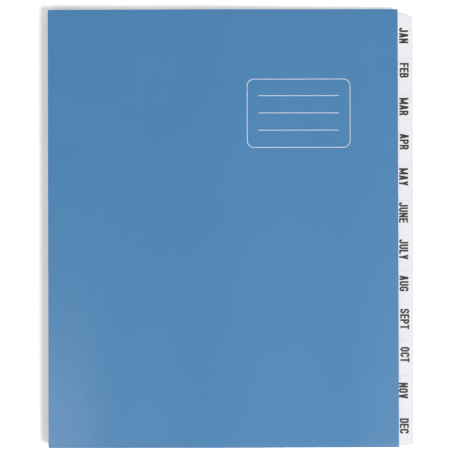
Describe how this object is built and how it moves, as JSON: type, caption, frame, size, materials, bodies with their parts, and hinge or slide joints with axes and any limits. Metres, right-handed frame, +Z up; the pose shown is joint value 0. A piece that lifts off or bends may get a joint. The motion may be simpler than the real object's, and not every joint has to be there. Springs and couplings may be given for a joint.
{
  "type": "desk file sorter",
  "caption": "Closed desk file sorter: stiff covers joined by an accordion-folded spine gusset, with tabbed month dividers glued in its pleats.",
  "frame": {"origin": "centre of the footprint, on the surface that the closed sorter lies on", "axes": "+X runs from the spine to the month tabs, +Y to the head of the sorter where the first month is, and +Z up out of the front cover"},
  "size_m": [0.254, 0.3048, 0.0128],
  "materials": {
    "cover_board": "satin blue laminate outside",
    "gusset_strip": "matt blue embossed paper",
    "divider_card": "smooth white index card"
  },
  "bodies": {
    "leaves": {"spine_gusset": "gusset_strip", "jan_divider": "divider_card", "feb_divider": "divider_card", "mar_divider": "divider_card", "apr_divider": "divider_card", "may_divider": "divider_card", "june_divider": "divider_card", "july_divider": "divider_card", "aug_divider": "divider_card", "sept_divider": "divider_card", "oct_divider": "divider_card", "nov_divider": "divider_card", "dec_divider": "divider_card"},
    "front": {"front_cover": "cover_board"},
    "back": {"back_cover": "cover_board"}
  },
  "joints": [
    {"name": "front_cover_hinge", "type": "hinge", "parent": "leaves", "child": "front", "pos_m": [-0.127, 0, 0.01175], "axis": [0, -1, 0], "range_deg": [0, 180]},
    {"name": "back_cover_hinge", "type": "hinge", "parent": "leaves", "child": "back", "pos_m": [-0.127, 0, 0.00106], "axis": [0, 1, 0], "range_deg": [0, 180]}
  ]
}
